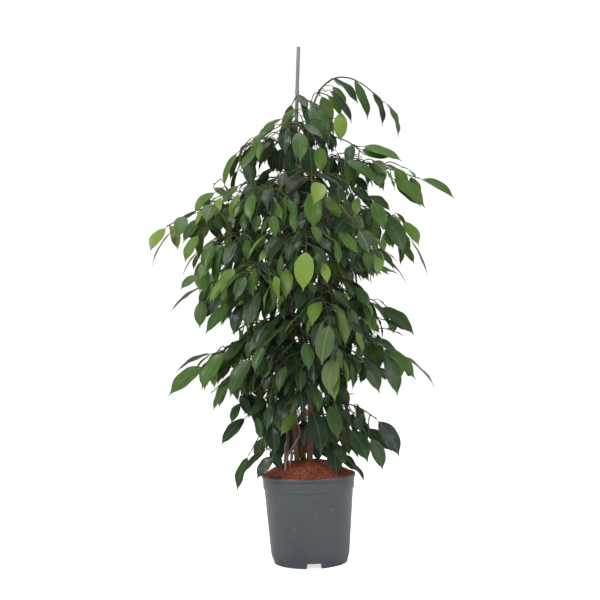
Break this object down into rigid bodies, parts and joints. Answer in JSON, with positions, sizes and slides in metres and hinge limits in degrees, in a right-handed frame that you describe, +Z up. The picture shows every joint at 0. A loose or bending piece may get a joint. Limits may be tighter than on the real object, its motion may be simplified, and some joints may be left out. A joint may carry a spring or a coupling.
{
  "type": "potted weeping fig",
  "caption": "Weeping fig with arching leafy branches and hanging pointed leaves on slender stems round a cane, standing in a round nursery pot.",
  "frame": {"origin": "centre of the pot's foot, at the level the pot stands on, under the middle of the bounding box", "axes": "+Z up along the stems and the cane, -Y the front that the picture shows, +X to its right"},
  "size_m": [0.6896, 0.5928, 1.1622],
  "materials": {
    "pot_plastic": "matte",
    "earth": "matte",
    "bamboo": "matte",
    "bark": "matte",
    "leaf_green": "satin"
  },
  "bodies": {
    "root": {"pot": "pot_plastic", "soil": "earth", "cane": "bamboo", "stem_right": "bark", "stem_left": "bark", "stem_back": "bark", "stem_thin": "bark", "branch_crown": "leaf_green", "branch_right_01": "leaf_green", "branch_right_02": "leaf_green", "branch_right_03": "leaf_green", "branch_right_04": "leaf_green", "branch_right_05": "leaf_green", "branch_right_06": "leaf_green", "branch_right_07": "leaf_green", "branch_right_08": "leaf_green", "branch_right_09": "leaf_green", "branch_right_10": "leaf_green", "branch_left_01": "leaf_green", "branch_left_02": "leaf_green", "branch_left_03": "leaf_green", "branch_left_04": "leaf_green", "branch_left_05": "leaf_green", "branch_left_06": "leaf_green", "branch_left_07": "leaf_green", "branch_left_08": "leaf_green", "branch_left_09": "leaf_green", "branch_left_10": "leaf_green", "branch_left_11": "leaf_green", "branch_left_12": "leaf_green", "branch_front_01": "leaf_green", "branch_front_02": "leaf_green", "branch_front_03": "leaf_green", "branch_front_04": "leaf_green", "branch_front_05": "leaf_green", "branch_front_06": "leaf_green", "branch_front_07": "leaf_green", "branch_front_08": "leaf_green", "branch_front_09": "leaf_green", "branch_front_10": "leaf_green", "branch_front_11": "leaf_green", "branch_back_01": "leaf_green", "branch_back_02": "leaf_green", "branch_back_03": "leaf_green", "branch_back_04": "leaf_green", "branch_back_05": "leaf_green", "branch_back_06": "leaf_green", "branch_back_07": "leaf_green", "branch_back_08": "leaf_green", "branch_back_09": "leaf_green", "branch_back_10": "leaf_green", "branch_back_11": "leaf_green", "branch_back_12": "leaf_green", "branch_back_13": "leaf_green"}
  },
  "joints": []
}
